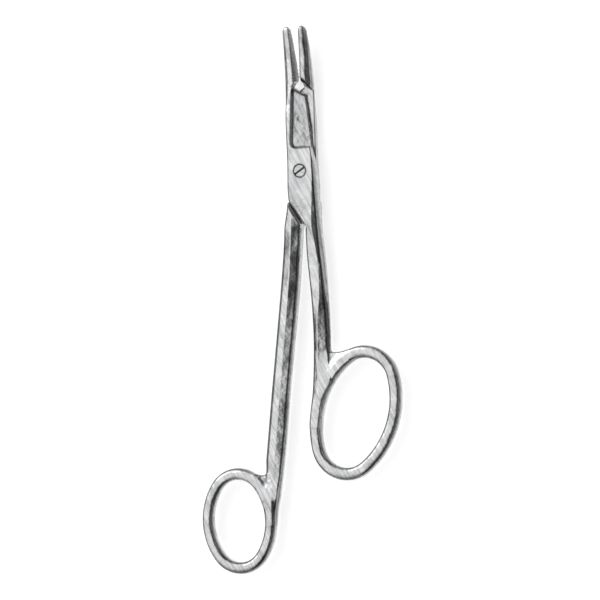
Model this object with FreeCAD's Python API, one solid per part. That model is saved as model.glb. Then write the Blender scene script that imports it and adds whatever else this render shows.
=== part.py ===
# Surgical needle holder with scissor blades behind its jaws: two crossed steel halves on one slotted screw.
# Millimetres. The halves cross on the pivot axis, +Y runs to the jaw tips, +X to the thumb ring's side,
# and +Z out of the screw head. The origin lies under the pivot, on the flat back that the joint rests on.
import FreeCAD
import Part
import math
import os
from FreeCAD import Vector

# Lap joint: thickness over both halves, gap between them, and how far the jaws stand open at rest
joint_thickness = 5.8
lap_gap = 0.05
rest_opening_deg = 3.6
plate_jaw_side_x = 4.7
plate_shank_side_x = 4.6
plate_middle_x = 4.1
plate_ridge_top_x = 3.7
plate_ridge_bottom_x = 2.75
plate_ridge_drop = 0.4
plate_grinding = 0.12
plate_side_bulge = 0.5
plate_corner_y = -8.3
crotch_x = 0.4
crotch_y = -15.0
step_y = -15.3
step_clearance = 0.28
neck_y = -16.5
bevel_run = 4.0

# Jaws: one face stands on the plane through the pivot axis, and the nose curves up
jaw_tip_y = 42.4
jaw_base_y = 25.6
jaw_face_gap = 0.06
jaw_tip_width = 2.4
jaw_base_width = 3.5
jaw_tip_thickness = 2.1
jaw_base_thickness = 5.0
jaw_rise = 2.8
jaw_nose_radius = 1.35
jaw_nose_depth = 1.26
jaw_back_share = 0.6
jaw_curve = 1.6
jaw_facets = 6
side_facets = 3
section_spacing = 5.0
shoulder_length = 2.6
shoulder_slope = 0.63
shoulder_height = 2.7
shoulder_facets = 5

# Cross-cut serrations of the jaw faces
serration_rows = 18
serration_width = 1.5
serration_depth = 0.25
serration_groove = 0.62
serration_margin = 0.3
serration_spare_rows = 4

# Scissor blades: cutting edge, hollow front and spine
blade_tip_x = 2.8
blade_tip_y = 21.4
blade_root_x = 3.65
blade_root_y = 7.3
blade_spine_x = 3.65
blade_spine_bulge = 0.8
blade_spine_length = 4.0
blade_edge_bulge = 0.1
blade_side_room = 0.6
blade_point_x = 2.4
blade_point_y = 22.25
notch_x = 0.75
notch_y = 24.45
hollow_bottom_y = 6.7
hollow_spine_bottom_x = 2.4
hollow_spine_top_x = 1.1
hollow_top_rim = 0.4
hollow_depth = 0.9
hollow_edge_depth = 2.0
hollow_corner_radius = 1.6
hollow_floor_radius = 0.5

# Shanks: a ridge runs down both faces between two bevels
shank_neck_thickness = 5.6
shank_middle_thickness = 4.3
shank_fork_thickness = 3.8
shank_ring_thickness = 3.6
neck_ridge_drop = 0.9
shank_outer_bulge = 0.75
shank_end_outer_bulge = 0.6
neck_outer_bulge = 0.5
neck_inner_bulge = 0.25
shank_inner_bulge = 0.35
shank_end_inner_bulge = 0.5
shank_end_thickness = 2.6
shank_end_inset = 0.25
shank_hole_inset = 0.8
shank_end_width = 1.8
side_lean = 0.33

# Thumb side, on the front half
thumb_neck_x = 2.25
thumb_neck_width = 4.5
thumb_shank_width = 5.35
thumb_upper_x = 2.35
thumb_middle_x = 2.55
thumb_lower_x = 2.55
thumb_ridge_shift = -0.6
thumb_fork_x = 2.15
thumb_fork_y = -52.5
thumb_ring_x = 11.2
thumb_ring_y = -71.2
thumb_ring_long_radius = 16.3
thumb_ring_short_radius = 9.8
thumb_ring_end_radius = 7.1
thumb_ring_angle_deg = 112.0
thumb_ring_width = 3.8
thumb_end_drop = 3.0
thumb_web_y = -53.2

# Finger side, on the rear half
finger_neck_x = 3.1
finger_neck_width = 5.4
finger_shank_width = 5.85
finger_upper_x = 4.4
finger_middle_x = 6.2
finger_lower_x = 8.0
finger_ridge_shift = 0.2
finger_fork_x = 9.7
finger_fork_y = -84.0
finger_ring_x = 21.15
finger_ring_y = -101.75
finger_ring_long_radius = 12.0
finger_ring_short_radius = 8.1
finger_ring_end_radius = 6.3
finger_ring_angle_deg = 92.3
finger_ring_width = 3.5
finger_end_drop = 1.0
finger_web_y = -88.4

# Rings and screw
ring_thickness = 3.5
ring_facets = 16
ring_squareness = 0.75
web_length = 6.0
web_thickness = 2.9
screw_head_diameter = 3.6
screw_head_height = 1.3
screw_shoulder_diameter = 2.8
screw_thread_diameter = 2.2
screw_end_inset = 0.15
screw_clearance = 0.04
screw_slot_width = 0.6
screw_slot_depth = 0.6
screw_slot_angle_deg = 34.0
screw_edge = 0.15

# Room that every cutting shape takes past the steel
reach = 12.0
half_thickness = joint_thickness / 2.0
face_x = jaw_face_gap / 2.0
lap_z = -lap_gap / 2.0


def polygon_prism(points, bottom, top):
    wire = Part.makePolygon([Vector(x, y, bottom) for x, y in points + points[:1]])
    return Part.Face(wire).extrude(Vector(0, 0, top - bottom))


def side_points(x, depth, top, bottom, lean, facets):
    # A convex side in facets: it bulges to x between both faces, and leaves them level, or leaning with lean
    start = x - depth
    pull = start + depth / 0.75
    inset = lean * (top - bottom)
    points = []
    for k in range(facets + 1):
        t = k / facets
        near = (1 - t) ** 3 + t ** 3
        points.append(Vector(start * near + pull * (1 - near), 0, 0))
        points[-1].z = ((1 - t) ** 3 * top + 3 * (1 - t) ** 2 * t * (top - inset)
                        + 3 * (1 - t) * t ** 2 * (bottom + inset) + t ** 3 * bottom)
    return points


def bar_section(y, left, right, top, bottom, ridge, left_drop, right_drop,
                left_depth, right_depth, lean, facets):
    # One closed section across the bar: two bevels on each face, meeting in a ridge, and two convex sides
    corners = [Vector(ridge, 0, top)]
    corners += side_points(right, right_depth, top - right_drop, bottom + right_drop, lean, facets)
    corners += [Vector(ridge, 0, bottom)]
    corners += side_points(left, -left_depth, bottom + left_drop, top - left_drop, side_lean, side_facets)
    wire = Part.makePolygon(corners + corners[:1])
    wire.translate(Vector(0, y, 0))
    return wire


def jaw_centre_z(y, rise):
    run = max(0.0, (y - jaw_base_y) / (jaw_tip_y - jaw_base_y))
    return rise * run ** jaw_curve


def along(y, places):
    # Straight steps between places given from the jaws down: (y, value)
    for (y1, value1), (y2, value2) in zip(places, places[1:]):
        if y >= y2:
            break
    return value1 + (value2 - value1) * (y - y1) / (y2 - y1)


def stations(start, end, spacing):
    count = max(2, round(abs(end - start) / spacing))
    return [start + (end - start) * k / count for k in range(count + 1)]


def head_blank(rise, half):
    # Jaw, blade and plate as one forged bar, before it is cut to its outline
    neck_ridge = -half["neck_x"]
    neck_left = neck_ridge - half["neck_width"] / 2.0
    neck_slope = neck_ridge_drop * 2.0 / half["neck_width"]
    spine_y = blade_tip_y - blade_spine_length
    rough = joint_thickness + 2 * plate_grinding
    left_side = [
        (jaw_tip_y, -plate_shank_side_x),
        (plate_corner_y, -plate_shank_side_x),
        (neck_y, neck_left),
    ]
    right_side = [
        (jaw_tip_y, jaw_tip_width),
        (jaw_base_y, jaw_base_width),
        (blade_tip_y, blade_spine_x),
        (hollow_bottom_y / 2.0, plate_middle_x),
        (plate_corner_y, plate_jaw_side_x),
        (neck_y, plate_jaw_side_x),
    ]
    ridge = [
        (jaw_tip_y, -plate_ridge_top_x),
        (hollow_bottom_y, -plate_ridge_top_x),
        (plate_corner_y, -plate_ridge_bottom_x),
        (neck_y, neck_ridge),
    ]
    bulge = [
        (jaw_tip_y, jaw_tip_width * jaw_back_share),
        (jaw_base_y, jaw_base_width * jaw_back_share),
        (spine_y, blade_spine_bulge),
        (hollow_bottom_y, plate_side_bulge),
        (neck_y, plate_side_bulge),
    ]
    lean = [(jaw_tip_y, 0.0), (jaw_base_y, 0.0), (spine_y, side_lean), (neck_y, side_lean)]
    thickness = [
        (jaw_tip_y, jaw_tip_thickness),
        (jaw_base_y, jaw_base_thickness),
        (hollow_bottom_y, rough),
        (plate_corner_y, rough),
        (neck_y, shank_neck_thickness),
    ]
    left_drop = [(jaw_tip_y, plate_ridge_drop), (hollow_bottom_y, plate_ridge_drop), (neck_y, neck_ridge_drop)]
    right_drop = [(jaw_tip_y, 0.0), (plate_corner_y + bevel_run, 0.0), (neck_y, 1.0)]
    sections = []
    for y in stations(jaw_tip_y + 1.0, neck_y, section_spacing):
        level = along(y, thickness) / 2.0
        centre = jaw_centre_z(y, rise)
        right = along(y, right_side)
        left = along(y, left_side)
        right_fall = neck_slope * (right - neck_ridge) * along(y, right_drop)
        sections.append(bar_section(
            y, left, right, centre + level, centre - level, along(y, ridge), along(y, left_drop), right_fall,
            plate_side_bulge, along(y, bulge), along(y, lean), jaw_facets))
    return Part.makeLoft(sections, True, False)


def head_outline(half):
    # Outline seen from the front: rounded jaw nose, gripping face, blade point, cutting edge, plate corner
    nose = jaw_nose_radius
    cutting_edge = Part.BSplineCurve()
    cutting_edge.interpolate([
        Vector(-blade_tip_x, blade_tip_y, 0),
        Vector(-(blade_tip_x + blade_root_x) / 2.0 - blade_edge_bulge, (blade_tip_y + blade_root_y) / 2.0, 0),
        Vector(-blade_root_x, blade_root_y, 0),
        Vector(-plate_shank_side_x - blade_side_room, plate_corner_y / 2.0, 0),
    ])
    edges = [
        Part.Arc(Vector(face_x, jaw_tip_y - nose, 0), Vector(jaw_tip_width / 2.0, jaw_tip_y, 0),
                 Vector(jaw_tip_width + 0.1, jaw_tip_y - nose * 1.2, 0)).toShape(),
        Part.makeLine(Vector(face_x, jaw_base_y, 0), Vector(face_x, jaw_tip_y - nose, 0)),
        Part.makePolygon([Vector(-blade_tip_x, blade_tip_y, 0), Vector(-blade_point_x, blade_point_y, 0),
                          Vector(notch_x, notch_y, 0), Vector(face_x, jaw_base_y, 0)]),
        cutting_edge.toShape(),
    ]
    slope = (plate_corner_y - crotch_y) / (plate_jaw_side_x - crotch_x)
    far = Vector(reach, plate_corner_y + slope * (reach - plate_jaw_side_x), 0)
    inner = -half["neck_x"] + half["neck_width"] / 2.0
    corners = [
        Vector(-plate_shank_side_x - blade_side_room, plate_corner_y / 2.0, 0),
        Vector(-reach, plate_corner_y / 2.0, 0),
        Vector(-reach, neck_y, 0),
        Vector(inner, neck_y, 0),
        Vector(inner, step_y, 0),
        Vector(crotch_x, crotch_y, 0),
        far,
        Vector(reach, jaw_tip_y - nose * 1.2, 0),
        Vector(jaw_tip_width + 0.1, jaw_tip_y - nose * 1.2, 0),
    ]
    edges.append(Part.makePolygon(corners))
    flat = []
    for piece in edges:
        flat.extend(piece.Edges)
    wire = Part.Wire(Part.__sortEdges__(flat))
    wire.translate(Vector(0, 0, -reach))
    return Part.Face(wire).extrude(Vector(0, 0, 2 * reach))


def beyond_nose(rise):
    # What is ground off the nose to round it from front to back
    centre = Vector(-reach, jaw_tip_y - jaw_nose_depth, jaw_centre_z(jaw_tip_y - jaw_nose_depth, rise))
    nose = Part.makeCylinder(jaw_nose_depth, 2 * reach, centre, Vector(1, 0, 0))
    block = Part.makeBox(2 * reach, reach, 2 * reach, Vector(-reach, centre.y, centre.z - reach))
    return block.cut(nose)


def lap_recess():
    # Room for the other half's layer, from the shoulder behind the jaw down to the step above the shank,
    # which runs along the other plate's lower edge with its clearance when the jaws are closed
    along_x = 1.0 / math.hypot(1.0, shoulder_slope)
    across = Vector(shoulder_slope * along_x, along_x, 0)
    raised = jaw_base_y + shoulder_length / along_x
    slope = (plate_corner_y - crotch_y) / (plate_jaw_side_x - crotch_x)
    step_x = -crotch_x - step_clearance * math.hypot(1.0, 1.0 / slope) + (crotch_y - step_y) / slope
    room = polygon_prism([
        (-reach, jaw_base_y), (0.0, jaw_base_y), (0.0, raised), (reach, raised - shoulder_slope * reach),
        (reach, step_y), (step_x, step_y), (-reach, step_y + (reach + step_x) * slope),
    ], lap_z, reach)
    down = Vector(along_x, -shoulder_slope * along_x, 0)
    centre = Vector(0, jaw_base_y, lap_z) + across * shoulder_length - down * 2.0
    corners = []
    for k in range(shoulder_facets + 1):
        turn = math.radians(90.0 + 90.0 * k / shoulder_facets)
        climb = Vector(0, 0, math.sin(turn) * shoulder_height)
        corners.append(centre + across * math.cos(turn) * shoulder_length + climb)
    corners += [centre - across * shoulder_length - Vector(0, 0, 1), centre - Vector(0, 0, 1), corners[0]]
    return room.cut(Part.Face(Part.makePolygon(corners)).extrude(down * 2.0 * reach))


def blade_hollow():
    # Ground hollow of the blade's outer face: a rounded corner below, a rim above, and a floor that falls
    # to the cutting edge
    slant = (hollow_spine_top_x - hollow_spine_bottom_x) / (blade_tip_y - hollow_bottom_y)
    radius = hollow_corner_radius
    corner = Vector(hollow_spine_bottom_x, hollow_bottom_y, 0)
    up = Vector(slant, 1, 0).normalize()
    rim = Vector(notch_x + blade_point_x, notch_y - blade_point_y, 0)
    rim_y = notch_y - notch_x * rim.y / rim.x - hollow_top_rim
    top_y = (rim_y + (corner.x - slant * corner.y) * rim.y / rim.x) / (1.0 - slant * rim.y / rim.x)
    edges = [
        Part.Arc(corner + up * radius, corner + (up - Vector(1, 0, 0)) * radius * 0.3,
                 corner - Vector(radius, 0, 0)).toShape(),
        Part.makePolygon([
            corner - Vector(radius, 0, 0),
            Vector(-reach, hollow_bottom_y, 0),
            Vector(-reach, rim_y - reach * rim.y / rim.x, 0),
            Vector(corner.x + (top_y - corner.y) * slant, top_y, 0),
            corner + up * radius,
        ]),
    ]
    flat = []
    for piece in edges:
        flat.extend(piece.Edges)
    outline = Part.Face(Part.Wire(Part.__sortEdges__(flat)))
    outline.translate(Vector(0, 0, -reach))
    fall = (hollow_edge_depth - hollow_depth) / (hollow_spine_bottom_x + blade_root_x)
    floor = -half_thickness + hollow_depth
    low = floor - fall * (reach - hollow_spine_bottom_x)
    high = floor + fall * (reach + hollow_spine_bottom_x)
    wire = Part.makePolygon([Vector(reach, 0, -reach), Vector(reach, 0, low), Vector(-reach, 0, high),
                             Vector(-reach, 0, -reach), Vector(reach, 0, -reach)])
    wedge = Part.Face(wire).extrude(Vector(0, 4 * reach, 0))
    room = outline.extrude(Vector(0, 0, 2 * reach)).common(wedge)
    rims = []
    for edge in room.Edges:
        middle = edge.valueAt((edge.FirstParameter + edge.LastParameter) / 2.0)
        on_floor = abs(middle.z - (floor + fall * (hollow_spine_bottom_x - middle.x))) < 1e-4
        if on_floor and middle.x > -reach + 1:
            rims.append(edge)
    return room.makeFillet(hollow_floor_radius, rims)


def serration_grooves():
    # Two crossing rows of V grooves over the gripping face
    pitch = (jaw_tip_y - jaw_base_y) / serration_rows
    angle = math.degrees(math.atan2(serration_width, pitch))
    half_mouth = serration_groove / 2.0
    above = 0.3
    mouth = half_mouth * (1 + above / serration_depth)
    field = Part.makeBox(2.0, jaw_tip_y, 2 * reach, Vector(-1.0, jaw_base_y + serration_margin, -reach))
    sets = []
    for side in (1, -1):
        grooves = []
        for k in range(-serration_spare_rows, serration_rows + serration_spare_rows + 1):
            wire = Part.makePolygon([
                Vector(face_x - above, 0, -mouth), Vector(face_x + serration_depth, 0, 0),
                Vector(face_x - above, 0, mouth), Vector(face_x - above, 0, -mouth)])
            groove = Part.Face(wire).extrude(Vector(0, 2 * reach, 0))
            groove.translate(Vector(0, -reach, 0))
            groove.rotate(Vector(0, 0, 0), Vector(1, 0, 0), side * angle)
            groove.translate(Vector(0, jaw_base_y + k * pitch, 0))
            groove = groove.common(field)
            if groove.Solids:
                grooves.append(groove)
        sets.append(grooves)
    return sets


def oval_arcs(half):
    # The ring's hole as an oval of four arcs: (centre, radius, first angle, turn), before it is turned
    a = half["ring_long"]
    b = half["ring_short"]
    end = half["ring_end"]
    side = ((a - end) ** 2 + b ** 2 - end ** 2) / (2.0 * (b - end))
    spread = math.degrees(math.atan2(side - b, a - end))
    return [
        (Vector(a - end, 0, 0), end, -spread, 2 * spread),
        (Vector(0, b - side, 0), side, spread, 180 - 2 * spread),
        (Vector(end - a, 0, 0), end, 180 - spread, 2 * spread),
        (Vector(0, side - b, 0), side, 180 + spread, 180 - 2 * spread),
    ]


def place_ring(shape, half):
    shape.rotate(Vector(0, 0, 0), Vector(0, 0, 1), half["ring_angle"])
    shape.translate(Vector(-half["ring_x"], half["ring_y"], 0))
    return shape


def ring(half):
    # A bar of rounded section bent round the four arcs
    width = half["ring_width"]
    pieces = []
    for centre, radius, start, turn in oval_arcs(half):
        corners = []
        for k in range(ring_facets):
            angle = 2 * math.pi * (k + 0.5) / ring_facets
            across = math.copysign(abs(math.cos(angle)) ** ring_squareness, math.cos(angle)) * width / 2.0
            up = math.copysign(abs(math.sin(angle)) ** ring_squareness, math.sin(angle)) * ring_thickness / 2.0
            corners.append(Vector(radius + width / 2.0 + across, 0, up))
        section = Part.Face(Part.makePolygon(corners + corners[:1]))
        section.rotate(Vector(0, 0, 0), Vector(0, 0, 1), start)
        section.translate(centre)
        pieces.append(section.revolve(centre, Vector(0, 0, 1), turn))
    return place_ring(pieces[0].fuse(pieces[1:]).removeSplitter(), half)


def ring_disc(half, grow):
    # The oval round the ring's hole, grown by a width, as a flat face
    edges = []
    for centre, radius, start, turn in oval_arcs(half):
        circle = Part.Circle(centre, Vector(0, 0, 1), radius + grow)
        edges.append(circle.toShape(math.radians(start), math.radians(start + turn)))
    return place_ring(Part.Face(Part.Wire(edges)), half)


def ring_side_x(half, grow, y):
    # Where that oval ends on the shank's side, on the level line at y
    line = Part.makeLine(Vector(-50, y, 0), Vector(50, y, 0))
    inside = line.common(ring_disc(half, grow))
    return inside.BoundBox.XMax if inside.Edges else -50.0


def shank(half):
    # Shank from the neck to its fork, and on down inside the ring's band until the ring has taken it in
    fork_y = half["fork_y"]
    end_y = half["ring_y"] - half["end_drop"]
    end_right = ring_side_x(half, half["ring_width"] - shank_end_inset, end_y)
    neck_right = -half["neck_x"] + half["neck_width"] / 2.0
    neck_left = -half["neck_x"] - half["neck_width"] / 2.0
    step = (fork_y - neck_y) / 4.0
    width = half["width"]
    places = [(neck_y, neck_left, neck_right)]
    for k, centre in enumerate((half["upper_x"], half["middle_x"], half["lower_x"], half["fork_x"])):
        places.append((neck_y + (k + 1) * step, -centre - width / 2.0, -centre + width / 2.0))
    thickness = [
        (neck_y, shank_neck_thickness),
        (neck_y + step, (shank_neck_thickness + shank_middle_thickness) / 2.0),
        (neck_y + 2 * step, shank_middle_thickness),
        (fork_y, shank_fork_thickness),
        ((fork_y + end_y) / 2.0, shank_ring_thickness),
        (end_y, shank_end_thickness),
    ]
    shift = [(neck_y, 0.0), (neck_y + step, half["ridge_shift"]), (fork_y, half["ridge_shift"]), (end_y, 0.0)]
    inner = [(neck_y, neck_inner_bulge), (neck_y + step, shank_inner_bulge), (end_y, shank_end_inner_bulge)]
    outer = [(neck_y, neck_outer_bulge), (neck_y + step, shank_outer_bulge), (end_y, shank_end_outer_bulge)]

    def section(y, left, right):
        level = along(y, thickness) / 2.0
        ridge = (left + right) / 2.0 + along(y, shift)
        return bar_section(y, left, right, level, -level, ridge, neck_ridge_drop, neck_ridge_drop,
                           along(y, outer), along(y, inner), side_lean, side_facets)

    bar = Part.makeLoft([section(*place) for place in places], True, False)
    fork_left, fork_right = places[-1][1:]
    ends = []
    for y in stations(fork_y, end_y, (fork_y - end_y) / 4.0):
        share = (y - fork_y) / (end_y - fork_y)
        right = fork_right + (end_right - fork_right) * share
        left = max(fork_left, ring_side_x(half, shank_hole_inset, y))
        ends.append(section(y, min(left, right - shank_end_width), right))
    return bar.fuse(Part.makeLoft(ends, True, False))


def web(half):
    # Steel left standing in the sharp corner between the shank and the ring
    top = half["web_y"]
    side_x = -half["fork_x"]
    corners = [
        (-half["ring_x"], top - web_length),
        (side_x, top - web_length),
        (side_x, top),
        (-half["ring_x"], top),
    ]
    block = polygon_prism(corners, -web_thickness / 2.0, web_thickness / 2.0)
    hole = ring_disc(half, half["ring_width"] / 4.0)
    hole.translate(Vector(0, 0, -reach))
    return block.cut(hole.extrude(Vector(0, 0, 2 * reach)))


finger = {
    "neck_x": finger_neck_x,
    "neck_width": finger_neck_width,
    "width": finger_shank_width,
    "upper_x": finger_upper_x,
    "middle_x": finger_middle_x,
    "lower_x": finger_lower_x,
    "ridge_shift": finger_ridge_shift,
    "fork_x": finger_fork_x,
    "fork_y": finger_fork_y,
    "end_drop": finger_end_drop,
    "web_y": finger_web_y,
    "ring_x": finger_ring_x,
    "ring_y": finger_ring_y,
    "ring_long": finger_ring_long_radius,
    "ring_short": finger_ring_short_radius,
    "ring_end": finger_ring_end_radius,
    "ring_angle": finger_ring_angle_deg,
    "ring_width": finger_ring_width,
}
thumb = {
    "neck_x": thumb_neck_x,
    "neck_width": thumb_neck_width,
    "width": thumb_shank_width,
    "upper_x": thumb_upper_x,
    "middle_x": thumb_middle_x,
    "lower_x": thumb_lower_x,
    "ridge_shift": thumb_ridge_shift,
    "fork_x": thumb_fork_x,
    "fork_y": thumb_fork_y,
    "end_drop": thumb_end_drop,
    "web_y": thumb_web_y,
    "ring_x": thumb_ring_x,
    "ring_y": thumb_ring_y,
    "ring_long": thumb_ring_long_radius,
    "ring_short": thumb_ring_short_radius,
    "ring_end": thumb_ring_end_radius,
    "ring_angle": thumb_ring_angle_deg,
    "ring_width": thumb_ring_width,
}


def forged_half(half, rise):
    # One half with its gripping face on the plane x = 0, its own layer below z = 0 and its shank towards -x.
    # Both faces of the joint are ground flat; the back bears the instrument when it lies down.
    head = head_blank(rise, half).common(head_outline(half))
    for bottom in (-half_thickness - reach, half_thickness):
        head = head.cut(Part.makeBox(2 * reach, blade_tip_y - neck_y, reach, Vector(-reach, neck_y, bottom)))
    head = head.cut(beyond_nose(rise)).cut(lap_recess()).cut(blade_hollow())
    for grooves in serration_grooves():
        head = head.cut(grooves)
    return head.fuse([shank(half), ring(half), web(half)]).removeSplitter()


def bore(diameter, bottom, top):
    return Part.makeCylinder(diameter / 2.0, top - bottom, Vector(0, 0, bottom))


def front_half():
    # Turned over, so that its own layer lies in front; the screw head sits in a counterbore
    shape = forged_half(thumb, -jaw_rise)
    shape = shape.cut(bore(screw_shoulder_diameter + 2 * screw_clearance, -reach, reach))
    seat = -half_thickness + screw_head_height + screw_clearance
    shape = shape.cut(bore(screw_head_diameter + 2 * screw_clearance, -reach, seat))
    shape.rotate(Vector(0, 0, 0), Vector(0, 1, 0), 180)
    shape.rotate(Vector(0, 0, 0), Vector(0, 0, 1), rest_opening_deg)
    return shape


def rear_half():
    return forged_half(finger, jaw_rise).cut(bore(screw_thread_diameter + 2 * screw_clearance, -reach, reach))


def pivot_screw():
    # Slotted head, shoulder that the front half turns on, and a threaded end in the rear half
    head = bore(screw_head_diameter, half_thickness - screw_head_height, half_thickness)
    rim = [edge for edge in head.Edges if edge.BoundBox.ZMin > half_thickness - 0.01]
    head = head.makeChamfer(screw_edge, rim)
    shoulder = bore(screw_shoulder_diameter, lap_z, half_thickness - screw_head_height)
    thread = bore(screw_thread_diameter, -half_thickness + screw_end_inset, lap_z)
    slot = Part.makeBox(2 * reach, screw_slot_width, reach,
                        Vector(-reach, -screw_slot_width / 2.0, half_thickness - screw_slot_depth))
    slot.rotate(Vector(0, 0, 0), Vector(0, 0, 1), screw_slot_angle_deg)
    return head.fuse([shoulder, thread]).removeSplitter().cut(slot)


os.makedirs("parts", exist_ok=True)
for name, make in (("front_half", front_half), ("rear_half", rear_half), ("pivot_screw", pivot_screw)):
    piece = make()
    piece.translate(Vector(0, 0, half_thickness))
    piece.exportStep("parts/" + name + ".step")
    print(name, piece.isValid(), len(piece.Solids), "solid", round(piece.Volume, 1), "cubic mm")
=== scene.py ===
import math

import bpy
import numpy as np
from mathutils import Matrix, Vector


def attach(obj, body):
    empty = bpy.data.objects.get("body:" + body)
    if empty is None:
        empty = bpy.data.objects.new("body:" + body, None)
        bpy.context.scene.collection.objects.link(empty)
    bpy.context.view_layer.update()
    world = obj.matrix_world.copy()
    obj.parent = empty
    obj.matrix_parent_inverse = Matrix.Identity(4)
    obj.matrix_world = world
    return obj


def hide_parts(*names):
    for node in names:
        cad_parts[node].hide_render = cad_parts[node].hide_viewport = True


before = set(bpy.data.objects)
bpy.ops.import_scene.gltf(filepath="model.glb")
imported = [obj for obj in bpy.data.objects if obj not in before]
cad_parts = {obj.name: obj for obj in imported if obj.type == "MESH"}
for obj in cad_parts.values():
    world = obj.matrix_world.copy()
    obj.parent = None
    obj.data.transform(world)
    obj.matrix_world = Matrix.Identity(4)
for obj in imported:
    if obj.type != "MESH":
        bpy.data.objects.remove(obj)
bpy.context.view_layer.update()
bpy.context.scene.view_settings.view_transform = "Standard"


# Rear half: jaw, blade, plate, left shank and finger ring, forged in one from stainless steel and ground.
# The forging is described as a solid whose value is below zero inside the steel, and a skin is laid on it.
# Millimetres in the half's own position: gripping face on x = 0, lap face on z = 0, shank to the left.
half_thickness = 2.9
lap_face = -0.025
neck = -16.5
step = -15.3
crotch_x = 0.4
crotch_y = -15.0
plate_corner_x = 4.7
plate_corner_y = -8.3
plate_slope = 1.558
shank_side = -4.6
hollow_foot = 6.7
blade_point = 21.4
jaw_base = 25.6
jaw_tip = 42.4
past_tip = 43.4
serration_rows = 18
serration_width = 1.5
serration_depth = 0.25
# Seen from the front: the gripping face, blade point and cutting edge, and the side at the back of the jaw
edge_places = ((-20.0, -9.0), (-4.15, -5.2), (0.0, -4.65), (3.5, -4.12), (7.3, -3.68), (11.0, -3.44),
               (14.4, -3.25), (18.0, -3.03), (blade_point, -2.8), (22.25, -2.4), (24.45, 0.75),
               (jaw_base, 0.03), (60.0, 0.03))
back_places = ((neck, plate_corner_x), (plate_corner_y, plate_corner_x), (3.35, 4.1), (21.7, 3.65),
               (jaw_base, 3.5), (jaw_tip, 2.4), (past_tip, 2.3))
level_places = ((neck, 2.8), (plate_corner_y, 3.02), (hollow_foot, 3.02), (jaw_base, 2.5), (jaw_tip, 1.0))
# The jaw's rise, the shank's neck, width and middle line, the ridge and the fall of the bevels on its left and
# right, and the ring: its oval hole of four arcs, the width of its band and the top of the web in its fork
rear = {
    "rise": 2.8,
    "neck_x": -3.1, "neck_width": 5.4, "width": 5.85, "centres": (-4.4, -6.2, -8.0, -9.7), "fork": -84.0,
    "ridge": ((-33.0, 0.2), (-84.0, 0.2)),
    "falls": (((-21.0, 1.3), (-30.0, 1.2), (-42.0, 0.95), (-84.0, 0.85), (-102.0, 0.3)),
              ((-28.0, 1.0), (-40.0, 0.86), (-54.0, 0.68), (-84.0, 0.63), (-102.0, 0.2))),
    "ring": (-21.15, -101.75), "long": 12.0, "short": 8.1, "end": 6.3, "turn": 92.3, "band": 3.5,
    "drop": 1.0, "web": -88.4,
}


def rounded_meet(a, b, radius):
    near = np.maximum(radius - np.abs(a - b), 0.0)
    return np.maximum(a, b) + near * near / (4.0 * radius)


def rounded_join(a, b, radius):
    return -rounded_meet(-a, -b, radius)


def flowing(y, places):
    # A smooth curve through (y, value) places that never swings past them
    at = np.array(sorted(places), float)
    run = np.diff(at[:, 0])
    rise = np.diff(at[:, 1]) / run
    slope = np.zeros(len(at))
    same = rise[:-1] * rise[1:] > 0
    slope[1:-1][same] = 2.0 * rise[:-1][same] * rise[1:][same] / (rise[:-1] + rise[1:])[same]
    slope[0] = rise[0]
    slope[-1] = rise[-1]
    y = np.clip(y, at[0, 0], at[-1, 0])
    k = np.clip(np.searchsorted(at[:, 0], y, side="right") - 1, 0, len(run) - 1)
    t = (y - at[k, 0]) / run[k]
    return ((1 + 2 * t) * (1 - t) ** 2 * at[k, 1] + t * (1 - t) ** 2 * run[k] * slope[k]
            + t * t * (3 - 2 * t) * at[k + 1, 1] + t * t * (t - 1) * run[k] * slope[k + 1])


def sprung(y, places):
    # A bent spline through (y, value) places, straight at both ends, for the long sides of a shank
    at = np.array(sorted(places), float)
    count = len(at)
    run = np.diff(at[:, 0])
    rise = np.diff(at[:, 1]) / run
    table = np.eye(count)
    bends = np.zeros(count)
    for k in range(1, count - 1):
        table[k, k - 1:k + 2] = run[k - 1], 2.0 * (run[k - 1] + run[k]), run[k]
        bends[k] = 6.0 * (rise[k] - rise[k - 1])
    bend = np.linalg.solve(table, bends)
    y = np.clip(y, at[0, 0], at[-1, 0])
    k = np.clip(np.searchsorted(at[:, 0], y, side="right") - 1, 0, count - 2)
    below = y - at[k, 0]
    above = at[k + 1, 0] - y
    return ((bend[k] * above ** 3 + bend[k + 1] * below ** 3) / (6.0 * run[k])
            + (at[k, 1] / run[k] - bend[k] * run[k] / 6.0) * above
            + (at[k + 1, 1] / run[k] - bend[k + 1] * run[k] / 6.0) * below)


def bar(x, z, left, right, level, ridge, left_drop, right_drop, left_bulge, right_bulge):
    # Ground bar: two bevels meet in a slightly worn ridge on each face, and both sides bulge
    worn = 0.25
    near = np.maximum(worn - np.abs(x - ridge), 0.0) ** 2 / (4.0 * worn)
    left_fall = (np.maximum(ridge - x, 0.0) + near) * left_drop / (ridge - left)
    right_fall = (np.maximum(x - ridge, 0.0) + near) * right_drop / (right - ridge)
    height = level - left_fall - right_fall
    faces = (np.abs(z) - height) * 0.96
    lift = np.minimum(np.abs(z) / np.maximum(height, 0.3), 1.2) ** 2
    sides = rounded_meet(x - right + right_bulge * lift, left - x + left_bulge * lift, 0.1)
    return rounded_meet(faces, sides, 0.22)


def serration(y, z):
    # Depth of two crossing sets of V grooves in the gripping face
    pitch = (jaw_tip - jaw_base) / serration_rows
    angle = math.atan2(serration_width, pitch)
    spacing = pitch * math.sin(angle)
    depth = 0.0
    for side in (1.0, -1.0):
        along = (y - jaw_base) * math.sin(angle) + side * z * math.cos(angle)
        off = np.abs((along / spacing + 0.5) % 1.0 - 0.5) * spacing
        depth = np.maximum(depth, serration_depth * (1.0 - off / 0.31))
    return depth * np.clip((y - jaw_base - 0.3) / 0.1, 0.0, 1.0)


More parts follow.
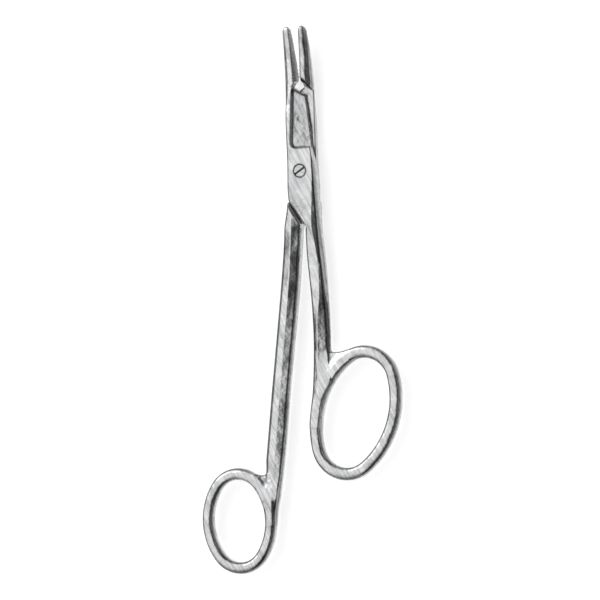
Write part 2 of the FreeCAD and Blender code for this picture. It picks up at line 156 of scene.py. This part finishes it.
def jaw_and_plate(x, y, z, half):
    # A flat plate, bevelled towards the neck, passes into a curved jaw with a round back
    centre = half["rise"] * np.clip((y - jaw_base) / (jaw_tip - jaw_base), 0.0, 1.1) ** 1.6
    level = flowing(y, level_places)
    neck_side = half["neck_x"] - half["neck_width"] / 2.0
    left = flowing(y, ((neck, neck_side), (plate_corner_y, shank_side), (0.0, shank_side),
                       (past_tip, shank_side)))
    right = flowing(y, back_places)
    ridge = flowing(y, ((neck, half["neck_x"]), (plate_corner_y, -2.75), (hollow_foot, -3.7),
                        (past_tip, -3.7)))
    left_drop = flowing(y, ((neck, 0.9), (hollow_foot, 0.4), (past_tip, 0.4)))
    bevel = flowing(y, ((neck, 1.0), (-4.3, 0.0), (past_tip, 0.0))) * 1.8 / half["neck_width"]
    plate = bar(x, z - centre, left, right, level, ridge, left_drop, bevel * (right - ridge), 0.5, 0.5)
    deep = np.maximum(right * 0.68, 0.5)
    out = np.maximum(x - right + deep, 0.0) / deep
    around = (np.sqrt(out * out + ((z - centre) / level) ** 2) - 1.0) * np.minimum(deep, level)
    share = np.clip((y - 14.0) / 12.0, 0.0, 1.0)
    share = share * share * (3.0 - 2.0 * share)
    return plate * (1.0 - share) + around * share


def below_plate(x, y, half):
    # What is cut off the plate's lower corner, and at the crotch, which clears the other half's step
    corner = (plate_corner_y - y + (x - plate_corner_x) * plate_slope) / 1.851
    inner = half["neck_x"] + half["neck_width"] / 2.0
    shelf = (step + (x - inner) * (crotch_y - step) / (crotch_x - inner) - y) * 0.9
    return corner, np.minimum(shelf, x - inner)


def lap_room(x, y, z):
    # Room for the other half's layer, from a curved shoulder behind the jaw down to the step over the shank
    across = (x * 0.63 + y - jaw_base) / 1.182 - 2.6
    climb = np.sqrt((np.minimum(across, 0.0) / 2.6) ** 2 + (np.maximum(z - lap_face, 0.0) / 2.7) ** 2)
    room = np.maximum(-(climb - 1.0) * 2.6, across)
    flank = (-0.733 - (y - crotch_y) / plate_slope - x) * 0.842
    room = rounded_meet(room, rounded_meet(step - y, flank, 0.1), 0.1)
    return rounded_meet(room, lap_face - z, 0.05)


def blade_hollow(x, y, z):
    # Ground hollow in the blade's outer face, with one round corner at its foot
    radius = 1.6
    spine = (x - 2.4 + (y - hollow_foot) * 0.0867) * 0.996
    foot = hollow_foot - y
    in_arc = (spine > -radius) & (foot > -radius)
    bay = np.where(in_arc, np.hypot(spine + radius, foot + radius) - radius, np.maximum(spine, foot))
    bay = rounded_meet(bay, (y - 23.53 - x * 0.698) * 0.82, 0.3)
    floor = z + 2.0 + 0.18 * (x - 2.4)
    return rounded_meet(bay, floor, 0.5)


def forged_head(x, y, z, half):
    head = jaw_and_plate(x, y, z, half)
    ground_flat = np.where(y < blade_point, np.abs(z) - half_thickness, -50.0)
    head = rounded_meet(head, ground_flat, 0.08)
    edge = np.interp(y, *zip(*edge_places))
    head = rounded_meet(head, (edge + serration(y, z) - x) * 0.97, 0.1)
    head = rounded_meet(head, y - jaw_tip, 1.9)
    corner, crotch = below_plate(x, y, half)
    head = rounded_meet(head, corner, 0.25)
    head = rounded_meet(head, crotch, 0.1)
    head = rounded_meet(head, -lap_room(x, y, z), 0.12)
    head = rounded_meet(head, -blade_hollow(x, y, z), 0.14)
    return np.maximum(head, neck - y)


def from_hole(x, y, half):
    # Distance from the ring's oval hole, whose edge is four arcs
    turn = math.radians(half["turn"])
    dx = x - half["ring"][0]
    dy = y - half["ring"][1]
    u = np.abs(dx * math.cos(turn) + dy * math.sin(turn))
    v = np.abs(dy * math.cos(turn) - dx * math.sin(turn))
    reach = half["long"] - half["end"]
    side = (reach ** 2 + half["short"] ** 2 - half["end"] ** 2) / (2.0 * (half["short"] - half["end"]))
    sink = side - half["short"]
    at_end = np.arctan2(v + sink, u) < math.atan2(sink, reach)
    return np.where(at_end, np.hypot(u - reach, v) - half["end"], np.hypot(u, v + sink) - side)


def forged_shank(x, y, z, half):
    # The shank's right side runs on down the outer side of the ring, where it ends
    fork = half["fork"]
    low = half["ring"][1] - half["drop"]
    spread = half["width"] / 2.0
    gap = (fork - neck) / 4.0
    outward = np.linspace(half["ring"][0] + half["short"], half["ring"][0] + 40.0, 4000)
    ring_side = outward[np.argmax(from_hole(outward, low, half) > half["band"] - 0.25)]
    rights = [(neck, half["neck_x"] + half["neck_width"] / 2.0)]
    lefts = [(neck, half["neck_x"] - half["neck_width"] / 2.0)]
    for k, centre in enumerate(half["centres"]):
        rights.append((neck + (k + 1) * gap, centre + spread))
        lefts.append((neck + (k + 1) * gap, centre - spread))
    rights.append((low, ring_side))
    right = sprung(y, rights)
    left = sprung(np.maximum(y, fork), lefts)
    level = sprung(y, ((neck, 2.8), (neck + gap, 2.475), (neck + 2 * gap, 2.15), (fork, 1.9),
                       ((fork + low) / 2.0, 1.8), (low, 1.3)))
    ridge = (left + right) / 2.0 + flowing(y, ((neck, 0.0),) + half["ridge"] + ((low, 0.0),))
    outer_bulge = flowing(y, ((neck, 0.5), (neck + gap, 0.75), (low, 0.6)))
    inner_bulge = flowing(y, ((neck, 0.25), (neck + gap, 0.35), (low, 0.5)))
    left_fall, right_fall = (flowing(y, ((neck, 0.9),) + places) for places in half["falls"])
    steel = bar(x, z, left, right, level, ridge, left_fall, right_fall, outer_bulge, inner_bulge)
    steel = np.maximum(steel, y - neck)
    steel = rounded_meet(steel, low - y, 0.6)
    return rounded_meet(steel, (1.5 - from_hole(x, y, half)) * 0.4, 0.3)


def forged_ring(x, y, z, half):
    # The band is nearly oval in section, a little flattened on all four sides
    squareness = 2.67
    across = np.abs(from_hole(x, y, half) - half["band"] / 2.0) / (half["band"] * 0.492)
    up = np.abs(z) / 1.72
    return ((across ** squareness + up ** squareness + 1e-9) ** (1.0 / squareness) - 1.0) * 1.6


def forged_web(x, y, z, half):
    # Steel left standing in the corner between the shank and the ring
    under = half["web"] - y
    height = 1.0 + 0.5 * np.clip(under / 4.0, 0.0, 1.0)
    web = rounded_meet(np.abs(z) - height, -under, 0.6)
    web = np.maximum(web, (under - 6.0) * 0.3)
    web = np.maximum(web, np.maximum(half["ring"][0] + 2.0 - x, x - half["centres"][-1]) * 0.3)
    return np.maximum(web, (1.9 - from_hole(x, y, half)) * 0.35)


def forged_half(x, y, z, half, bores):
    steel = rounded_join(forged_head(x, y, z, half), forged_shank(x, y, z, half), 0.1)
    handle = rounded_join(forged_ring(x, y, z, half), forged_web(x, y, z, half), 1.2)
    steel = rounded_join(steel, handle, 1.1)
    away = np.hypot(x, y)
    for radius, top in bores:
        steel = rounded_meet(steel, -np.maximum(away - radius, z - top), 0.08)
    return steel


def skinned(solid, xs, ys, zs):
    # Corners of the skin sit where the solid's value crosses zero, one in each grid cell that it passes
    value = solid(xs[:, None, None], ys[None, :, None], zs[None, None, :])
    value = np.broadcast_to(value, (len(xs), len(ys), len(zs)))
    inside = value < 0
    corners = [(a, b, c) for a in (0, 1) for b in (0, 1) for c in (0, 1)]
    count = 0
    for a, b, c in corners:
        count = count + inside[a:len(xs) - 1 + a, b:len(ys) - 1 + b, c:len(zs) - 1 + c].astype(np.int8)
    crossed = (count > 0) & (count < 8)
    number = np.full(crossed.shape, -1, np.int64)
    number[crossed] = np.arange(crossed.sum())
    i, j, k = np.nonzero(crossed)
    total = np.zeros((len(i), 3))
    hits = np.zeros(len(i))
    for a in corners:
        for axis in range(3):
            if a[axis]:
                continue
            b = [a[0], a[1], a[2]]
            b[axis] = 1
            first = value[i + a[0], j + a[1], k + a[2]]
            second = value[i + b[0], j + b[1], k + b[2]]
            cut = (first < 0) != (second < 0)
            share = np.where(cut, first / np.where(cut, first - second, 1.0), 0.0)
            start = np.stack((xs[i + a[0]], ys[j + a[1]], zs[k + a[2]]), 1)
            end = np.stack((xs[i + b[0]], ys[j + b[1]], zs[k + b[2]]), 1)
            total += np.where(cut[:, None], start + (end - start) * share[:, None], 0.0)
            hits += cut
    points = total / hits[:, None]
    # A face stands across each grid edge on which the steel begins or ends
    faces = []
    for axis, (p, q) in enumerate(((1, 2), (2, 0), (0, 1))):
        lower = [slice(None)] * 3
        upper = [slice(None)] * 3
        lower[axis] = slice(0, -1)
        upper[axis] = slice(1, None)
        one = inside[tuple(lower)]
        ends = np.nonzero(one != inside[tuple(upper)])
        kept = np.ones(len(ends[0]), bool)
        for other in (p, q):
            kept &= (ends[other] > 0) & (ends[other] < inside.shape[other] - 1)
        ends = [part[kept] for part in ends]
        around = []
        for dp, dq in ((-1, -1), (0, -1), (0, 0), (-1, 0)):
            cell = list(ends)
            cell[p] = ends[p] + dp
            cell[q] = ends[q] + dq
            around.append(number[cell[0], cell[1], cell[2]])
        around = np.stack(around, 1)
        outward = one[ends[0], ends[1], ends[2]]
        faces.append(np.where(outward[:, None], around, around[:, ::-1]))
    return points, np.concatenate(faces)


def slope_at(solid, points):
    small = 0.004
    parts = []
    for axis in range(3):
        ahead = points.copy()
        behind = points.copy()
        ahead[:, axis] += small
        behind[:, axis] -= small
        parts.append((solid(*ahead.T) - solid(*behind.T)) / (2.0 * small))
    return np.stack(parts, 1)


def painted_shade_marks(solid, points, normals):
    # Painted shade: dark lines along sharp outer edges, in corners and in the jaw's grooves; the jaw's gripping
    # face is spared most of the painted side shade
    beside = 0.7
    ways = [(1, 0, 0), (-1, 0, 0), (0, 1, 0), (0, -1, 0), (0, 0, 1), (0, 0, -1),
            (0.7, 0.7, 0), (0.7, -0.7, 0), (-0.7, 0.7, 0), (-0.7, -0.7, 0)]
    beyond = [solid(*(points + np.array(way) * beside).T) / beside for way in ways]
    edge = np.clip((np.max(beyond[:4] + beyond[6:], axis=0) - 0.35) / 0.35, 0.0, 1.0)
    edge = edge * np.clip((np.abs(normals[:, 2]) - 0.3) / 0.3, 0.0, 1.0)
    corner = np.clip((-np.mean(beyond[:6], axis=0) - 0.04) / 0.14, 0.0, 1.0)
    x, y, z = points.T
    face = (normals[:, 0] < -0.4) & (x < 0.6) & (y > jaw_base + 0.2)
    groove = np.clip((serration(y, z) - 0.05) / 0.12, 0.0, 1.0)
    # Painted shade on the shoulder under the jaw and the slope over the blade's point, which face away from the
    # light
    shade_facing_away = (y > 21.0) & (y < 33.0) & (normals[:, 1] < -0.25)
    shade_facing_away = shade_facing_away | (y > 21.0) & (y < 25.4) & (normals[:, 1] > 0.3) & (np.abs(normals[:, 2]) < 0.6)
    marked = np.maximum(np.maximum(edge, corner), shade_facing_away * 0.9)
    return np.where(face, groove, marked), np.where(face, 0.85, 0.0)


def made_mesh(name, solid, xs, ys, zs, placing):
    points, faces = skinned(solid, xs, ys, zs)
    for _ in range(4):
        slope = slope_at(solid, points)
        move = slope * (solid(*points.T) / np.maximum((slope ** 2).sum(1), 0.05))[:, None]
        points = points - np.clip(move, -0.08, 0.08)
    slope = slope_at(solid, points)
    normals = slope / np.maximum(np.linalg.norm(slope, axis=1), 1e-6)[:, None]
    # Painted shade masks: dark lines on edges, in corners, grooves and on shoulders, and how much of the
    # painted side shade the jaw face is spared
    painted_shade_lines, face_spared_side_shade = painted_shade_marks(solid, points, normals)
    turn = np.array(placing.to_3x3())
    points = points @ turn.T + np.array(placing.translation)
    normals = normals @ turn.T
    mesh = bpy.data.meshes.new(name)
    mesh.from_pydata((points / 1000.0).tolist(), [], faces.tolist())
    mesh.validate()
    mesh.polygons.foreach_set("use_smooth", [True] * len(mesh.polygons))
    mesh.normals_split_custom_set_from_vertices(normals.tolist())
    mesh.attributes.new("line", "FLOAT", "POINT").data.foreach_set("value", painted_shade_lines)
    mesh.attributes.new("spared_side_shade", "FLOAT", "POINT").data.foreach_set("value", face_spared_side_shade)
    piece = bpy.data.objects.new(name, mesh)
    bpy.context.scene.collection.objects.link(piece)
    return piece


def lines(*spans):
    # Grid lines in stretches of their own spacing: start, end, spacing
    rows = []
    for start, end, spacing in spans:
        rows.append(np.arange(start, end - 1e-6, spacing))
    return np.concatenate(rows + [[spans[-1][1]]])


# The grid is finest at the joint and in the jaws
ring_spacing = 0.36
shank_spacing = 0.55
head_spacing = 0.19
jaw_spacing = 0.12
outer_spacing = 0.25
cross_spacing = 0.15
head_lines = ((-18.0, 24.0, head_spacing), (24.0, 43.0, jaw_spacing))
rest_opening = math.radians(3.6)
rear_place = Matrix.Translation((0.0, 0.0, half_thickness))
thread_hole = (1.14, 50.0)
rear_forging = made_mesh(
    "rear_forging", lambda x, y, z: forged_half(x, y, z, rear, (thread_hole,)),
    lines((-33.4, -5.2, outer_spacing), (-5.2, 5.4, cross_spacing)),
    lines((-117.8, -84.0, ring_spacing), (-84.0, -18.0, shank_spacing), *head_lines),
    lines((-3.2, 4.3, cross_spacing)), rear_place)
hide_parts("rear_half")
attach(rear_forging, "rear_half")


# Front half: the mirror of the same forging, turned over onto the rear half, with a longer reach to its jaw's
# side and the large thumb ring. The screw head sits in its counterbore.
front = {
    "rise": -2.8,
    "neck_x": -2.25, "neck_width": 4.5, "width": 5.35, "centres": (-2.35, -2.55, -2.55, -2.15), "fork": -52.5,
    "ridge": ((-26.0, -0.9), (-35.0, -0.5), (-45.0, 0.9), (-52.5, 1.0)),
    "falls": (((-30.0, 0.55), (-40.0, 1.05), (-48.0, 1.1), (-56.0, 0.8), (-74.0, 0.2)),
              ((-52.5, 0.9), (-74.0, 0.3))),
    "ring": (-11.2, -71.2), "long": 16.3, "short": 9.8, "end": 7.1, "turn": 112.0, "band": 3.8,
    "drop": 3.0, "web": -53.2,
}
front_place = rear_place @ Matrix.Rotation(rest_opening, 4, "Z") @ Matrix.Rotation(math.pi, 4, "Y")
shoulder_hole = (1.44, 50.0)
counterbore = (1.84, -1.56)
front_forging = made_mesh(
    "front_forging", lambda x, y, z: forged_half(x, y, z, front, (shoulder_hole, counterbore)),
    lines((-26.5, -5.2, outer_spacing), (-5.2, 5.4, cross_spacing)),
    lines((-90.8, -52.0, ring_spacing), (-52.0, -18.0, shank_spacing), *head_lines),
    lines((-4.3, 3.2, cross_spacing)), front_place)
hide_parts("front_half")
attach(front_forging, "front_half")


# Satin finish of both halves: stainless steel ground on a belt, whose streaks run up the page to the left,
# with softer cloudy wear where hands and trays have rubbed it.
def node(tree, kind, **values):
    made = tree.nodes.new(kind)
    for key, value in values.items():
        setattr(made, key, value)
    return made


streaks = bpy.data.node_groups.new("belt_streaks", "ShaderNodeTree")
streaks.interface.new_socket("Angle", in_out="INPUT", socket_type="NodeSocketVector")
streaks.interface.new_socket("Fineness", in_out="INPUT", socket_type="NodeSocketFloat")
streaks.interface.new_socket("Streak", in_out="OUTPUT", socket_type="NodeSocketFloat")
streaks.interface.new_socket("Cloud", in_out="OUTPUT", socket_type="NodeSocketFloat")
given = node(streaks, "NodeGroupInput")
place = node(streaks, "ShaderNodeTexCoord")
turned = node(streaks, "ShaderNodeVectorRotate", rotation_type="EULER_XYZ")
streaks.links.new(place.outputs["Object"], turned.inputs["Vector"])
streaks.links.new(given.outputs["Angle"], turned.inputs["Rotation"])
drawn = node(streaks, "ShaderNodeVectorMath", operation="MULTIPLY")
drawn.inputs[1].default_value = (0.06, 1.0, 0.5)
streaks.links.new(turned.outputs["Vector"], drawn.inputs[0])
fine = node(streaks, "ShaderNodeTexNoise")
fine.inputs["Detail"].default_value = 5.0
fine.inputs["Roughness"].default_value = 0.62
streaks.links.new(drawn.outputs["Vector"], fine.inputs["Vector"])
streaks.links.new(given.outputs["Fineness"], fine.inputs["Scale"])
cloud = node(streaks, "ShaderNodeTexNoise")
cloud.inputs["Scale"].default_value = 160.0
cloud.inputs["Detail"].default_value = 3.0
streaks.links.new(place.outputs["Object"], cloud.inputs["Vector"])
result = node(streaks, "NodeGroupOutput")
streaks.links.new(fine.outputs["Fac"], result.inputs["Streak"])
streaks.links.new(cloud.outputs["Fac"], result.inputs["Cloud"])


# Painted shade in the base colour: narrow dark lines on the sharp edges and in the corners, and round and
# upright sides painted a darker grey than the level faces.
shade = bpy.data.node_groups.new("painted_edge_and_side_shade", "ShaderNodeTree")
shade.interface.new_socket("Edge Depth", in_out="INPUT", socket_type="NodeSocketFloat")
shade.interface.new_socket("Side Depth", in_out="INPUT", socket_type="NodeSocketFloat")
shade.interface.new_socket("Light", in_out="OUTPUT", socket_type="NodeSocketFloat")
wanted = node(shade, "NodeGroupInput")
line = node(shade, "ShaderNodeAttribute", attribute_name="line")
spared_side_shade = node(shade, "ShaderNodeAttribute", attribute_name="spared_side_shade")
facing = node(shade, "ShaderNodeTexCoord")
upright = node(shade, "ShaderNodeSeparateXYZ")
shade.links.new(facing.outputs["Normal"], upright.inputs["Vector"])
flat = node(shade, "ShaderNodeMath", operation="ABSOLUTE")
shade.links.new(upright.outputs["Z"], flat.inputs[0])
steep = node(shade, "ShaderNodeValToRGB")
# How dark the painted side shade is, from upright at 0 to level at 1
painted_side_depths = ((0.0, 0.25), (0.15, 0.3), (0.3, 0.92), (0.42, 0.82), (0.6, 0.4), (0.84, 0.0))
while len(steep.color_ramp.elements) < len(painted_side_depths):
    steep.color_ramp.elements.new(0.5)
for element, (position, depth) in zip(steep.color_ramp.elements, painted_side_depths):
    element.position = position
    element.color = (depth, depth, depth, 1.0)
shade.links.new(flat.outputs[0], steep.inputs["Fac"])


def combined(operation, first, second):
    made = node(shade, "ShaderNodeMath", operation=operation)
    for socket, value in zip(made.inputs, (first, second)):
        if isinstance(value, float):
            socket.default_value = value
        else:
            shade.links.new(value, socket)
    return made.outputs[0]


side_shade_kept = combined("SUBTRACT", 1.0, spared_side_shade.outputs["Fac"])
painted_side_shade_base = combined("MULTIPLY", steep.outputs["Color"], side_shade_kept)
side_shade = combined("MULTIPLY", painted_side_shade_base, wanted.outputs["Side Depth"])
edge_shade = combined("MULTIPLY", line.outputs["Fac"], wanted.outputs["Edge Depth"])
light = combined("SUBTRACT", 1.0, combined("MAXIMUM", side_shade, edge_shade))
shaded = node(shade, "NodeGroupOutput")
shade.links.new(light, shaded.inputs["Light"])


def ground_steel_with_painted_shade(name, colour, roughness, angle, fineness, streak_height, wave_height):
    steel = bpy.data.materials.new(name)
    steel.use_nodes = True
    tree = steel.node_tree
    shader = tree.nodes["Principled BSDF"]
    shader.inputs["Metallic"].default_value = 1.0
    marks = node(tree, "ShaderNodeGroup", node_tree=streaks)
    marks.inputs["Angle"].default_value = (0.0, 0.0, math.radians(angle))
    marks.inputs["Fineness"].default_value = fineness
    tone = node(tree, "ShaderNodeValToRGB")
    tone.color_ramp.elements[0].position = 0.32
    tone.color_ramp.elements[0].color = (colour * 0.62, colour * 0.63, colour * 0.64, 1.0)
    tone.color_ramp.elements[1].position = 0.62
    tone.color_ramp.elements[1].color = (colour, colour, colour * 1.01, 1.0)
    tree.links.new(marks.outputs["Streak"], tone.inputs["Fac"])
    # Painted shade: dark edge and corner lines and darker upright sides are multiplied into the base colour
    shading = node(tree, "ShaderNodeGroup", node_tree=shade)
    shading.inputs["Edge Depth"].default_value = 0.8
    shading.inputs["Side Depth"].default_value = 0.8
    patches = node(tree, "ShaderNodeMapRange", interpolation_type="SMOOTHSTEP")
    patches.inputs["From Min"].default_value = 0.36
    patches.inputs["From Max"].default_value = 0.52
    patches.inputs["To Min"].default_value = 0.86
    tree.links.new(marks.outputs["Cloud"], patches.inputs["Value"])
    handled = node(tree, "ShaderNodeVectorMath", operation="SCALE")
    tree.links.new(tone.outputs["Color"], handled.inputs[0])
    tree.links.new(patches.outputs["Result"], handled.inputs["Scale"])
    shadow = node(tree, "ShaderNodeVectorMath", operation="SCALE", name="shadow")
    tree.links.new(handled.outputs["Vector"], shadow.inputs[0])
    tree.links.new(shading.outputs["Light"], shadow.inputs["Scale"])
    tree.links.new(shadow.outputs["Vector"], shader.inputs["Base Color"])
    worn = node(tree, "ShaderNodeMapRange")
    worn.inputs["From Min"].default_value = 0.3
    worn.inputs["From Max"].default_value = 0.7
    worn.inputs["To Min"].default_value = roughness - 0.05
    worn.inputs["To Max"].default_value = roughness + 0.07
    tree.links.new(marks.outputs["Cloud"], worn.inputs["Value"])
    tree.links.new(worn.outputs["Result"], shader.inputs["Roughness"])
    relief = node(tree, "ShaderNodeBump")
    relief.inputs["Strength"].default_value = 0.25
    relief.inputs["Distance"].default_value = streak_height
    tree.links.new(marks.outputs["Streak"], relief.inputs["Height"])
    waves = node(tree, "ShaderNodeBump")
    waves.inputs["Strength"].default_value = 1.0
    waves.inputs["Distance"].default_value = wave_height
    tree.links.new(marks.outputs["Cloud"], waves.inputs["Height"])
    tree.links.new(relief.outputs["Normal"], waves.inputs["Normal"])
    tree.links.new(waves.outputs["Normal"], shader.inputs["Normal"])
    return steel


satin_steel = ground_steel_with_painted_shade("satin_steel", colour=0.88, roughness=0.22, angle=62.0, fineness=1500.0,
                           streak_height=0.00004, wave_height=0.0006)
for piece in (rear_forging, front_forging):
    piece.data.materials.append(satin_steel)


# Pivot screw: a turned screw with a slotted head, sunk flush in the front half, whose thread holds in the
# rear half. Its own solid has the right shape, so it keeps it and gets a turned finish, with painted shade in
# the slot.
slot_floor = 0.00560
slot_rim = 0.00576
screw_steel = ground_steel_with_painted_shade("screw_steel", colour=0.82, roughness=0.24, angle=20.0, fineness=2600.0,
                           streak_height=0.00002, wave_height=0.0001)
turned_steel = screw_steel.node_tree
slot_place = node(turned_steel, "ShaderNodeTexCoord")
slot_height = node(turned_steel, "ShaderNodeSeparateXYZ")
turned_steel.links.new(slot_place.outputs["Object"], slot_height.inputs["Vector"])
# Painted shade: the slot is darkened from its floor up to its rim
slot_shade = node(turned_steel, "ShaderNodeMapRange")
slot_shade.inputs["From Min"].default_value = slot_floor
slot_shade.inputs["From Max"].default_value = slot_rim
slot_shade.inputs["To Min"].default_value = 0.12
turned_steel.links.new(slot_height.outputs["Z"], slot_shade.inputs["Value"])
slot_shaded = node(turned_steel, "ShaderNodeVectorMath", operation="SCALE")
turned_steel.links.new(turned_steel.nodes["shadow"].outputs["Vector"], slot_shaded.inputs[0])
turned_steel.links.new(slot_shade.outputs["Result"], slot_shaded.inputs["Scale"])
turned_steel.links.new(slot_shaded.outputs["Vector"], turned_steel.nodes["Principled BSDF"].inputs["Base Color"])
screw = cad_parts["pivot_screw"]
screw.data.materials.clear()
screw.data.materials.append(screw_steel)


# Table: a plain white sheet of paper that the instrument lies on. It is lifted to white for the camera and in
# the steel's reflections, and keeps the instrument's shadow.
reach = 3.0
top = -0.0004
table_mesh = bpy.data.meshes.new("table")
table_mesh.from_pydata([(-reach, -reach, top), (reach, -reach, top), (reach, reach, top), (-reach, reach, top)],
                       [], [(0, 1, 2, 3)])
table = bpy.data.objects.new("table", table_mesh)
bpy.context.scene.collection.objects.link(table)
white = bpy.data.materials.new("white_sheet")
white.use_nodes = True
sheet = white.node_tree.nodes["Principled BSDF"]
sheet.inputs["Base Color"].default_value = (0.93, 0.93, 0.93, 1.0)
sheet.inputs["Roughness"].default_value = 0.9
sheet.inputs["Specular IOR Level"].default_value = 0.1
sheet.inputs["Emission Color"].default_value = (1.0, 1.0, 1.0, 1.0)
ray = node(white.node_tree, "ShaderNodeLightPath")
seen = node(white.node_tree, "ShaderNodeMath", operation="MAXIMUM")
shown = node(white.node_tree, "ShaderNodeMath", operation="MAXIMUM")
lifted = node(white.node_tree, "ShaderNodeMath", operation="MULTIPLY")
lifted.inputs[1].default_value = 0.66
white.node_tree.links.new(ray.outputs["Is Camera Ray"], seen.inputs[0])
white.node_tree.links.new(ray.outputs["Is Glossy Ray"], seen.inputs[1])
white.node_tree.links.new(seen.outputs[0], shown.inputs[0])
white.node_tree.links.new(ray.outputs["Is Transmission Ray"], shown.inputs[1])
white.node_tree.links.new(shown.outputs[0], lifted.inputs[0])
white.node_tree.links.new(lifted.outputs[0], sheet.inputs["Emission Strength"])
table_mesh.materials.append(white)


# Light: a bright room, darker past the ring end and over one stretch of ceiling that the right-hand bevels
# mirror, and a soft lamp at the upper left.
world = bpy.data.worlds.new("room")
world.use_nodes = True
room = world.node_tree
toward = node(room, "ShaderNodeTexCoord")
parts = node(room, "ShaderNodeSeparateXYZ")
room.links.new(toward.outputs["Generated"], parts.inputs["Vector"])
ceiling = node(room, "ShaderNodeMath", operation="ARCTAN2")
room.links.new(parts.outputs["X"], ceiling.inputs[0])
room.links.new(parts.outputs["Z"], ceiling.inputs[1])
across = node(room, "ShaderNodeMapRange")
across.inputs["From Min"].default_value = -math.pi / 2.0
across.inputs["From Max"].default_value = math.pi / 2.0
room.links.new(ceiling.outputs[0], across.inputs["Value"])
tones = node(room, "ShaderNodeValToRGB")
tones.color_ramp.interpolation = "EASE"
# Degrees from overhead towards the thumb ring's side, and the room's brightness there
room_tones = ((-90.0, 0.1), (-77.0, 0.25), (-66.0, 0.8), (-57.0, 1.0), (-40.0, 0.9), (-12.0, 0.92), (0.0, 0.88),
              (4.0, 0.5), (9.0, 0.3), (14.0, 0.04), (27.0, 0.03), (45.0, 0.3), (62.0, 0.6), (90.0, 0.25))
while len(tones.color_ramp.elements) < len(room_tones):
    tones.color_ramp.elements.new(0.5)
for element, (degrees, level) in zip(tones.color_ramp.elements, room_tones):
    element.position = (degrees + 90.0) / 180.0
    element.color = (level, level, level, 1.0)
room.links.new(across.outputs["Result"], tones.inputs["Fac"])
foot_end = node(room, "ShaderNodeMapRange", interpolation_type="SMOOTHSTEP")
foot_end.inputs["From Min"].default_value = -0.6
foot_end.inputs["From Max"].default_value = -0.05
foot_end.inputs["To Min"].default_value = 0.4
room.links.new(parts.outputs["Y"], foot_end.inputs["Value"])
dimmed = node(room, "ShaderNodeVectorMath", operation="SCALE")
room.links.new(tones.outputs["Color"], dimmed.inputs[0])
room.links.new(foot_end.outputs["Result"], dimmed.inputs["Scale"])
room.links.new(dimmed.outputs["Vector"], room.nodes["Background"].inputs["Color"])
room.nodes["Background"].inputs["Strength"].default_value = 1.0
bpy.context.scene.world = world
lamp = bpy.data.lights.new("soft_lamp", "AREA")
lamp.shape = "RECTANGLE"
lamp.size = 1.2
lamp.size_y = 1.2
lamp.energy = 5.0
soft_lamp = bpy.data.objects.new("soft_lamp", lamp)
soft_lamp.location = (-1.1, 0.9, 1.0)
soft_lamp.rotation_euler = (-soft_lamp.location).to_track_quat("-Z", "Y").to_euler()
bpy.context.scene.collection.objects.link(soft_lamp)


# Camera: a long lens above the instrument, tilted 22 degrees to the thumb ring's side, as the drawing
# shows it, and rolled a little with the page.
roll = math.radians(0.7)
tilt = math.radians(22.0)
distance = 1.6
frame_width = 0.1744
side = Vector((math.cos(roll), -math.sin(roll), 0.0))
up = Vector((math.sin(roll), math.cos(roll), 0.0))
above = Vector((0.0, 0.0, 1.0))
back = side * math.sin(tilt) + above * math.cos(tilt)
right = side * math.cos(tilt) - above * math.sin(tilt)
aim = side * -0.001003 + up * -0.0375 + above * (half_thickness / 1000.0)
lens = bpy.data.cameras.new("long_lens")
lens.lens = 36.0 * distance / frame_width
lens.clip_start = 0.1
lens.clip_end = 10.0
camera = bpy.data.objects.new("camera", lens)
turned_to_aim = Matrix((right, up, back)).transposed().to_4x4()
camera.matrix_world = Matrix.Translation(aim + back * distance) @ turned_to_aim
bpy.context.scene.collection.objects.link(camera)
bpy.context.scene.camera = camera
